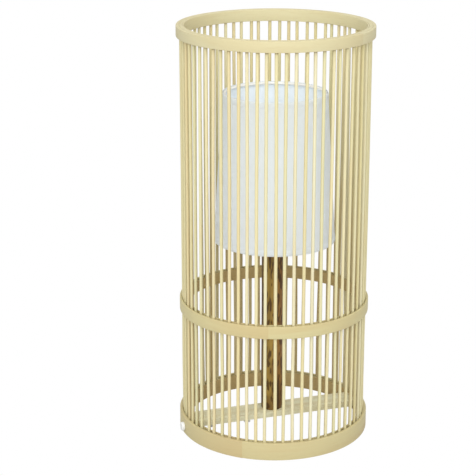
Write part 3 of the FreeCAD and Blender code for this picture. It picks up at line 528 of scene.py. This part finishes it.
def mottled_bamboo():
    """A dark culm: tan and red-brown ground with long dark blotches and small spots, and painted shade down
    its edge on the camera's left.
    """
    nodes = Nodes("mottled bamboo", 0.42, Specular_IOR_Level=0.4)
    place = nodes.place()
    x, y, z = nodes.split(place)
    right_x, right_y = CAMERA_RIGHT
    across = nodes.math("ADD", nodes.math("MULTIPLY", x, right_x), nodes.math("MULTIPLY", y, right_y))
    ground = nodes.grey_ramp(nodes.noise(nodes.scaled(place, 60.0, 60.0, 16.0), 1.0, 3.0), 0.4, 0.62)
    tan = nodes.mix(ground, *CULM_TAN)
    red = nodes.mix(ground, *CULM_RED)
    patch = nodes.noise(nodes.scaled(place, 300.0, 300.0, 70.0), 1.0, 1.5, 0.5)
    cloud = nodes.noise(nodes.scaled(place, 120.0, 120.0, 30.0), 1.0, 2.0)
    ends = nodes.math("ADD", nodes.grey_ramp(z, 0.09, 0.02), nodes.grey_ramp(z, 0.16, 0.2))
    crowd = nodes.math("ADD", nodes.math("MULTIPLY", ends, 0.06), nodes.math("MULTIPLY", cloud, 0.2))
    dark = nodes.grey_ramp(nodes.math("ADD", patch, crowd), 0.61, 0.7)
    stain = nodes.grey_ramp(nodes.math("ADD", cloud, nodes.math("MULTIPLY", ends, 0.12)), 0.5, 0.72)
    # painted shade: a dark band down the culm's edge on the camera's left
    shaded_left_edge = nodes.grey_ramp(across, -10.4 * MM, -12.2 * MM)
    tone = nodes.mix(nodes.grey_ramp(across, -3 * MM, 6 * MM), tan, red)
    tone = nodes.tint(tone, stain, 0.6, CULM_STAIN)
    tone = nodes.tint(tone, dark, 0.85, CULM_DARK)
    tone = nodes.tint(tone, shaded_left_edge, 0.8, CULM_DARK)
    fibre = nodes.noise(nodes.scaled(place, 1800.0, 1800.0, 40.0), 1.0, 3.0)
    nodes.colour(tone)
    nodes.rough(fibre, 0.34, 0.5)
    nodes.bump(nodes.math("ADD", fibre, nodes.math("MULTIPLY", dark, -0.6)), 0.15 * MM, 0.5)
    return nodes.material


def shade_fabric():
    """White plain-weave fabric: fine crossing threads and a few thicker slubs."""
    nodes = Nodes("shade fabric", 0.85, Specular_IOR_Level=0.2, Sheen_Weight=0.15)
    share, radius, z = round_coordinates(nodes, 0.0)
    weft = nodes.math("SINE", nodes.math("MULTIPLY", z, TURN / THREAD))
    warp = nodes.math("SINE", nodes.math("MULTIPLY", share, TURN * WARP_THREADS))
    weave = nodes.math("MULTIPLY", weft, warp)
    slub = nodes.noise(nodes.scaled(nodes.join(share, radius, z), 40.0, 0.0, 900.0), 1.0, 3.0)
    cloud = nodes.noise(nodes.place(), 22.0, 2.0)
    tone = nodes.mix(cloud, FABRIC_WHITE, FABRIC_PALE)
    tone = nodes.tint(tone, nodes.grey_ramp(slub, 0.55, 0.8), 0.25, FABRIC_SLUB)
    nodes.colour(tone)
    nodes.bump(nodes.math("ADD", weave, nodes.math("MULTIPLY", slub, 2.0)), 0.05 * MM, 0.6)
    return nodes.material


def plain_surface(name, colour, shade, roughness, **fixed):
    """Moulded surface: slight mottling of tone and roughness, and a fine skin texture."""
    nodes = Nodes(name, roughness, **fixed)
    fine = nodes.noise(nodes.place(), 900.0, 3.0)
    broad = nodes.noise(nodes.place(), 64.0, 2.0)
    nodes.colour(nodes.mix(nodes.grey_ramp(broad, 0.35, 0.7), colour, shade))
    nodes.rough(fine, max(0.05, roughness - 0.08), roughness + 0.1)
    nodes.bump(fine, 0.02 * MM, 0.4)
    return nodes.material


def brushed_metal(name, colour, shade, roughness):
    """Metal with fine turning marks round the axis."""
    nodes = Nodes(name, roughness, Metallic=1.0)
    share, radius, z = round_coordinates(nodes, 0.0)
    marks = nodes.noise(nodes.scaled(nodes.join(share, radius, z), 0.0, 3000.0, 5000.0), 1.0, 2.0)
    nodes.colour(nodes.mix(marks, colour, shade))
    nodes.rough(marks, roughness - 0.08, roughness + 0.12)
    nodes.bump(marks, 0.01 * MM, 0.4)
    return nodes.material


STREAK = srgb(196, 175, 124)
# The hoop tones step from paler at the top to darker at the bottom: painted light and shade, the top hoop
# painted as lit more.
TOP_TONES = (srgb(215, 206, 165), srgb(210, 196, 151), STREAK)
MIDDLE_TONES = (srgb(209, 198, 149), srgb(202, 182, 132), STREAK)
BOTTOM_TONES = (srgb(205, 193, 146), srgb(199, 177, 130), STREAK)
# pith colour of the middle and bottom linings' inner faces, partly painted shade, which the top lining lacks
PITH_AND_SHADE = (srgb(201, 177, 124), srgb(160, 134, 80))

looks = {
    "rods": rod_bamboo(),
    "top strip": strip_bamboo("top hoop bamboo", SEAMS["top"], TOP_TONES),
    "middle strip": strip_bamboo("middle hoop bamboo", SEAMS["middle"], MIDDLE_TONES),
    "bottom strip": strip_bamboo("bottom hoop bamboo", SEAMS["bottom"], BOTTOM_TONES),
    "middle lining": strip_bamboo("middle lining bamboo", SEAMS["middle"], MIDDLE_TONES, PITH_AND_SHADE),
    "bottom lining": strip_bamboo("bottom lining bamboo", SEAMS["bottom"], BOTTOM_TONES, PITH_AND_SHADE),
    "board": board_wood(),
    "post": mottled_bamboo(),
    "fabric": shade_fabric(),
    "plug": plain_surface("turned plug wood", srgb(200, 170, 120), srgb(178, 144, 94), 0.6),
    "white plastic": plain_surface("white plastic", srgb(240, 241, 240), srgb(232, 234, 234), 0.38),
    "holder plastic": plain_surface("holder plastic", srgb(236, 236, 232), srgb(226, 226, 222), 0.42),
    "ceramic": plain_surface("glazed ceramic", srgb(240, 237, 228), srgb(230, 226, 214), 0.2),
    "sheath": plain_surface("lead sheath", srgb(236, 236, 232), srgb(222, 222, 218), 0.5),
    "core": plain_surface("core insulation", srgb(110, 66, 40), srgb(92, 54, 32), 0.45),
    "globe": plain_surface(
        "frosted globe", srgb(246, 246, 242), srgb(240, 240, 236), 0.5,
        Subsurface_Weight=0.2, Subsurface_Scale=0.004),
    "housing": plain_surface("lamp housing", srgb(240, 240, 237), srgb(232, 232, 230), 0.3),
    "insulator": plain_surface("black insulator", srgb(26, 26, 28), srgb(18, 18, 20), 0.15),
    "circuit": plain_surface("circuit board", srgb(40, 96, 60), srgb(30, 80, 48), 0.4),
    "wire": plain_surface("coated wire", srgb(238, 238, 234), srgb(228, 228, 224), 0.35),
    "steel": brushed_metal("zinc steel", srgb(196, 198, 200), srgb(168, 170, 172), 0.34),
    "brass": brushed_metal("brass", srgb(214, 178, 96), srgb(186, 148, 70), 0.3),
    "nickel": brushed_metal("nickel plate", srgb(206, 204, 198), srgb(180, 178, 172), 0.28),
}


# The rods

def make_rods():
    """Each rod is a slightly uneven, slightly bowed stick; three share a piece, as in the CAD."""
    rng = random.Random(11)
    inner_seat = span("top_inner_hoop")[1]
    circle = inner_seat + GLUE_GAP + ROD_DIAMETER / 2
    low, high = (corner.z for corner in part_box("cage_rods_06"))
    holds = [sum(span(hoop)[2:]) / 2 for hoop in ("bottom_outer_hoop", "middle_outer_hoop", "top_outer_hoop")]
    for group in range(ROD_COUNT // RODS_PER_NODE):
        points = []
        faces = []
        numbers = []
        for member in range(RODS_PER_NODE):
            number = group * RODS_PER_NODE + member
            foot, head = rod_ends(rng, number, circle)
            rod_points, rod_faces = rod_mesh(rng, foot, head, circle, low, high, holds)
            first = len(points)
            points += rod_points
            faces += [tuple(first + index for index in face) for face in rod_faces]
            numbers += [float(number)] * len(rod_points)
        node = "cage_rods_%02d" % (group + 1)
        name = "rods_%02d" % (group + 1)
        piece = add_piece(name, points, faces, looks["rods"], "lamp_frame", (node,))
        attribute = piece.data.attributes.new(ROD_NUMBER, "FLOAT", "POINT")
        attribute.data.foreach_set("value", numbers)


def rod_ends(rng, number, circle):
    """The angles at which a rod's foot and head stand, never quite evenly."""
    place = BUSH_SIDE + (number + 0.5) * TURN / ROD_COUNT
    from_back = place - CAMERA_SIDE - math.pi
    spread = FRONT_SPREAD
    if math.cos(from_back) > 0:
        spread = BACK_SPREAD
        place += BACK_DRIFT * math.sin(2 * from_back)
    foot = place + rng.gauss(0, spread) / circle
    head = place + rng.gauss(0, spread) / circle
    if number in (0, ROD_COUNT - 1):
        foot = place + math.copysign(BUSH_ROOM, ROD_COUNT / 2 - number) / circle
    return foot, head


def rod_mesh(rng, foot, head, circle, low, high, holds):
    """One rod as rings from foot to head: slightly oval, swelling a little, and bowed in each bay."""
    bays = range(len(holds) - 1)
    bow_out = [rng.uniform(-BOW_OUT, BOW_OUT) for _ in bays]
    bow_side = [rng.uniform(-BOW_ASIDE, BOW_ASIDE) for _ in bays]
    squash = rng.uniform(0.01, 0.07)
    twist = rng.uniform(0, 0.1 * TURN)
    swell = rng.uniform(0, TURN)
    result = []
    for ring in range(ROD_RINGS + 1):
        share = ring / ROD_RINGS
        z = low + (high - low) * share
        half = ROD_DIAMETER / 2 * (0.99 + 0.01 * math.sin(9 * share + swell))
        if ring in (0, ROD_RINGS):
            half *= ROD_END_GIRTH
        out, side = bow_at(z, holds, bow_out, bow_side)
        angle = foot + (head - foot) * share + side / circle
        middle = Vector(polar(circle + out, angle, z))
        away = Vector(polar(1, angle, 0))
        beside = Vector(polar(1, angle + math.pi / 2, 0))
        loop = []
        for side_number in range(ROD_SIDES):
            turn = TURN * side_number / ROD_SIDES
            across = half * (1 - squash * math.cos(2 * (turn - twist - 0.5 * share)) ** 2)
            spot = middle + away * (across * math.cos(turn)) + beside * (across * math.sin(turn))
            loop.append(tuple(spot))
        result.append(loop)
    return skin(result, wrap=False, capped=True)


def bow_at(z, levels, bow_out, bow_side):
    """How far a rod bows out and aside at a height, in each bay between hoops."""
    for bay in range(len(levels) - 1):
        if levels[bay] < z < levels[bay + 1]:
            lift = math.sin(math.pi * (z - levels[bay]) / (levels[bay + 1] - levels[bay])) ** 2
            return bow_out[bay] * lift, bow_side[bay] * lift
    return 0.0, 0.0


# The hoops

def strip_section(inner, outer, low, high, ease, corner_steps=3):
    """A rectangle of (radius, height) corners with rounded edges."""
    ease = min(ease, 0.45 * (outer - inner))
    corners = ((outer, low, -90), (outer, high, 0), (inner, high, 90), (inner, low, 180))
    loop = []
    for radius, height, start in corners:
        centre_radius = radius - ease if radius == outer else radius + ease
        centre_height = height + ease if height == low else height - ease
        for step in range(corner_steps + 1):
            turn = math.radians(start + 90 * step / corner_steps)
            loop.append((centre_radius + ease * math.cos(turn), centre_height + ease * math.sin(turn)))
    return loop


def make_strip(name, node, look, seam, seed, ease):
    """A bent strip whose tapered ends lap over each other, with slightly uneven edges."""
    inner, outer, low, high = span(node)
    rng = random.Random(seed)
    radial = slow_wave(rng)
    upper = slow_wave(rng, 6)
    lower = slow_wave(rng, 6)
    stands_clear = low > MM
    lap_angle = LAP / outer
    length = TURN + lap_angle
    rings = []
    for step in range(STRIP_STEPS + 1):
        travel = length * step / STRIP_STEPS
        angle = seam - lap_angle + travel
        near, far = strip_faces(inner, outer, travel / lap_angle, (length - travel) / lap_angle)
        wave = STRIP_WAVE * radial(angle)
        bottom = low + EDGE_WAVE * lower(angle) * stands_clear
        top = high + EDGE_WAVE * (upper(angle) - 0.5)
        section = strip_section(near + wave, far + wave, bottom, top, ease)
        rings.append([polar(radius, angle, height) for radius, height in section])
    points, faces = skin(rings, wrap=False, capped=True)
    add_piece(name, points, faces, look, "lamp_frame", (node,), 50)


def strip_faces(inner, outer, from_start, from_end):
    """Inner and outer radius of a strip: the starting end tapers underneath, the other end on top."""
    thick = outer - inner
    under = min(1.0, max(BLUNT, from_start))
    over = min(1.0, max(BLUNT, from_end))
    near, far = inner, outer
    if under < 1.0:
        far = inner + thick * under - LAP_GAP
    if over < 1.0:
        near = far - thick * over + LAP_GAP
        far += LAP_PROUD * (1 - over)
    return near, far


HOOPS = (
    # piece, CAD node, look, hoop, turn from the outer strip's seam, rounding
    ("hoop_top_outer", "top_outer_hoop", "top strip", "top", 0.0, STRIP_EASE),
    ("hoop_top_inner", "top_inner_hoop", "top strip", "top", 2.2, STRIP_EASE),
    ("hoop_top_filler", "rim_filler", "top strip", "top", 3.6, FILLER_EASE),
    ("hoop_middle_outer", "middle_outer_hoop", "middle strip", "middle", 0.0, STRIP_EASE),
    ("hoop_middle_inner", "middle_inner_hoop", "middle lining", "middle", 2.6, STRIP_EASE),
    ("hoop_bottom_outer", "bottom_outer_hoop", "bottom strip", "bottom", 0.0, STRIP_EASE),
    ("hoop_bottom_inner", "bottom_inner_hoop", "bottom lining", "bottom", 2.9, STRIP_EASE),
)


def make_hoops():
    """Every hoop strip, with its seam turned from that of the hoop's outer strip."""
    for seed, (name, node, look, hoop, turned, ease) in enumerate(HOOPS, start=1):
        make_strip(name, node, looks[look], SEAMS[hoop] + turned, seed, ease)


# The post

def make_post():
    """The culm: a hollow tube, slightly uneven in girth, with eased ends."""
    inner, outer, low, high = span("post")
    right_x, right_y = CAMERA_RIGHT
    aside = Vector((-right_x, -right_y, 0)) * POST_ASIDE
    rng = random.Random(21)
    girth = slow_wave(rng, 3)
    lumps = slow_wave(rng, 5)
    outside = []
    inside = []
    for level in range(POST_LEVELS + 1):
        share = level / POST_LEVELS
        z = low + (high - low) * share
        edge = min(z - low, high - z)
        radius = outer + POST_SWELL - POST_EASE * (1 - smoothstep(0, POST_EASE_REACH, edge))
        outer_ring = []
        inner_ring = []
        for side in range(POST_SIDES):
            angle = TURN * side / POST_SIDES
            uneven = POST_UNEVEN * (girth(angle + 2.0 * share) + lumps(9 * share) - POST_DIP)
            outer_ring.append(tuple(aside + Vector(polar(radius + uneven, angle, z))))
            inner_ring.append(tuple(aside + Vector(polar(inner, angle, z))))
        outside.append(outer_ring)
        inside.append(inner_ring)
    points, faces = skin(outside + inside[::-1], wrap=True, capped=False)
    add_piece("mottled_post", points, faces, looks["post"], "lamp_frame", ("post",), 50)


# The shade

def make_shade():
    """One sheet of fabric: rolled over both wires, with a hem line and an overlapped seam at the back."""
    _, lower, low, high = span("shade_cover")
    rng = random.Random(5)
    soft = slow_wave(rng, 7)
    softer = slow_wave(rng, 5)
    heights = shade_levels(low, high)
    rings = []
    for step in range(SHADE_STEPS):
        angle = TURN * step / SHADE_STEPS
        from_seam = abs((angle - SHADE_SEAM + math.pi) % TURN - math.pi) * lower
        lap = SEAM_PROUD * (1 - smoothstep(*SEAM_EDGE, from_seam))
        outside = []
        for z in heights:
            share = (z - low) / (high - low)
            ripple = SLACK_RIPPLE * softer(2 * angle + 5 * share)
            slack = SLACK_WAVE * soft(angle) + ripple - SLACK_DIP
            radius = lower - SHADE_INSET - SHADE_TAPER * share + slack * math.sin(math.pi * share)
            outside.append((radius + lap + hem_lift(min(z - low, high - z)), z))
        inside = [(radius - FABRIC_THICK - lap * 0.5, z) for radius, z in reversed(outside)]
        for end in (0, -1):
            radius, z = inside[end]
            inside[end] = (radius + HEM_PROUD, z)
        rings.append([polar(radius, angle, z) for radius, z in outside + inside])
    points, faces = skin(rings, wrap=True, capped=False)
    cover = add_piece(
        "fabric_shade", points, faces, looks["fabric"], "shade", ("shade_cover",), 60)


def hem_lift(edge):
    """How the fabric stands out at its hem and rolls in at its very edge."""
    hem = HEM_PROUD * (1 - smoothstep(HEM - HEM_STEP, HEM, edge))
    roll = ROLL * (1 - smoothstep(0.0, ROLL_REACH, edge))
    return hem - roll


def shade_levels(low, high):
    """Heights of the fabric's rows: close together at the rolled edges and the hem lines."""
    near = list(EDGE_ROWS) + [HEM + step for step in HEM_ROWS]
    start = low + near[-1]
    end = high - near[-1]
    middle = [start + (end - start) * row / SHADE_ROWS for row in range(1, SHADE_ROWS)]
    return [low + step for step in near] + middle + [high - step for step in reversed(near)]


# The lamp and the fittings

def make_globe():
    """The candle globe as one smooth hollow egg."""
    _, outer, low, high = span("bulb_globe")
    tall = high - low
    outline = []
    for inset, steps in (
        (0.0, range(GLOBE_STEPS + 1)), (GLOBE_WALL, range(GLOBE_STEPS, -1, -1)),
    ):
        for step in steps:
            turn = math.pi / 2 * step / GLOBE_STEPS
            radius = max((outer - inset) * math.cos(turn) ** GLOBE_POINT, GLOBE_TIP)
            outline.append((radius, low + (tall - inset) * math.sin(turn)))
    lathe(
        "candle_globe", outline, GLOBE_SIDES, looks["globe"], "bulb", ("bulb_globe",), 60)


def make_eased_fittings():
    """Copies of the fittings that can be seen closely, with their hard edges rounded."""
    for node, name, width, look, body, slot in (
        ("cross_board", "plank", 0.7 * MM, "board", "lamp_frame", "board_wood"),
        ("cable_bush", "bush", 0.45 * MM, "white plastic", "lamp_frame", "white_plastic"),
        ("lead_clips", "saddle_clips", 0.3 * MM, "white plastic", "lamp_frame", "white_plastic"),
        ("shade_ring", "screw_ring", 0.35 * MM, "holder plastic", "shade_ring", "holder_plastic"),
        ("nipple_nut", "hex_nut", 0.25 * MM, "steel", "lamp_frame", "steel"),
        ("shade_carrier", "carrier_frame", 0.3 * MM, "wire", "shade", "shade_wire"),
    ):
        eased_copy(node, name, width, looks[look], body)


CAD_LOOKS = {
    "board_nails": "steel", "clip_nails": "steel", "post_screws": "steel",
    "inner_lead": "sheath", "lead_cores": "core", "post_base_plug": "plug", "post_top_plug": "plug",
    "holder_nipple": "steel", "nipple_washer": "steel", "holder_cap": "holder plastic",
    "holder_sleeve": "holder plastic", "holder_insert": "ceramic", "terminal_screws": "brass",
    "holder_shell": "brass", "holder_contact": "brass", "shade_top_wire": "wire",
    "bulb_contact": "nickel", "bulb_insulator": "insulator", "bulb_cap": "nickel",
    "bulb_body": "housing", "led_board": "circuit", "bulb_driver": "circuit",
}


def dress_cad_nodes():
    """Materials for the CAD nodes that are shown as they are."""
    for node, look in CAD_LOOKS.items():
        mesh = frame["nodes"][node].data
        mesh.materials.clear()
        mesh.materials.append(looks[look])


# Studio and camera

def make_floor():
    """A wide white floor that reflects softly but is itself seen as pure white."""
    mesh = bpy.data.meshes.new("floor")
    corners = [(x * FLOOR_HALF, y * FLOOR_HALF, 0) for x, y in ((-1, -1), (1, -1), (1, 1), (-1, 1))]
    mesh.from_pydata(corners, [], [(0, 1, 2, 3)])
    floor = bpy.data.objects.new("floor", mesh)
    bpy.context.scene.collection.objects.link(floor)
    nodes = Nodes("studio floor", 0.9, Specular_IOR_Level=0.0)
    nodes.shader.inputs["Base Color"].default_value = FLOOR_TONE
    glow = nodes.add("ShaderNodeEmission", {"Strength": 1.0})
    seen = nodes.add("ShaderNodeLightPath", {}).outputs["Is Camera Ray"]
    blend = nodes.add("ShaderNodeMixShader", {0: seen, 1: nodes.shader.outputs[0], 2: glow.outputs[0]})
    nodes.tree.links.new(blend.outputs[0], nodes.tree.nodes["Material Output"].inputs["Surface"])
    mesh.materials.append(nodes.material)


def make_light(name, azimuth, elevation, distance, size, power):
    """A square soft light that points at the lamp; its azimuth is counted from -Y."""
    turn, rise = math.radians(azimuth), math.radians(elevation)
    away = Vector((math.sin(turn) * math.cos(rise), -math.cos(turn) * math.cos(rise), math.sin(rise)))
    data = bpy.data.lights.new(name, "AREA")
    data.shape = "SQUARE"
    data.size = size
    data.energy = power
    light = bpy.data.objects.new(name, data)
    light.location = LIGHT_AIM + away * distance
    light.rotation_euler = (-away).to_track_quat("-Z", "Y").to_euler()
    bpy.context.scene.collection.objects.link(light)


def make_shade_fill():
    """A weak lamp inside the shade, so its inside is as pale as its outside."""
    data = bpy.data.lights.new("shade_fill", "POINT")
    data.shadow_soft_size = FILL_RADIUS
    data.energy = FILL_POWER
    light = bpy.data.objects.new("shade_fill", data)
    light.location = (0, 0, span("shade_cover")[3] - FILL_DEPTH)
    bpy.context.scene.collection.objects.link(light)


def make_studio():
    """White surroundings, seen as pure white, with a soft key light above the camera."""
    world = bpy.data.worlds.new("studio")
    world.use_nodes = True
    tree = world.node_tree
    background = tree.nodes["Background"]
    background.inputs["Color"].default_value = (1, 1, 1, 1)
    seen = tree.nodes.new("ShaderNodeLightPath").outputs["Is Camera Ray"]
    strength = tree.nodes.new("ShaderNodeMath")
    strength.operation = "MULTIPLY_ADD"
    strength.inputs[1].default_value = 1.0 - WORLD_LIGHT
    strength.inputs[2].default_value = WORLD_LIGHT
    tree.links.new(seen, strength.inputs[0])
    tree.links.new(strength.outputs[0], background.inputs["Strength"])
    bpy.context.scene.world = world
    bpy.context.scene.view_settings.view_transform = "Standard"
    make_floor()
    for light in LIGHTS:
        make_light(*light)
    make_shade_fill()


def make_camera():
    """Far in front and above the rim, aimed just left of the cage's axis."""
    heading = math.atan2(-CAMERA_PLACE.y, -CAMERA_PLACE.x) + CAMERA_ASIDE
    level = math.cos(CAMERA_DIP)
    aim = Vector((math.cos(heading) * level, math.sin(heading) * level, -math.sin(CAMERA_DIP)))
    data = bpy.data.cameras.new("camera")
    data.sensor_width = CAMERA_SENSOR
    data.lens = CAMERA_LENS
    camera = bpy.data.objects.new("camera", data)
    camera.location = CAMERA_PLACE
    camera.rotation_euler = aim.to_track_quat("-Z", "Y").to_euler()
    bpy.context.scene.collection.objects.link(camera)
    bpy.context.scene.camera = camera


make_camera()
make_studio()
make_rods()
make_hoops()
make_post()
make_shade()
make_globe()
make_eased_fittings()
dress_cad_nodes()
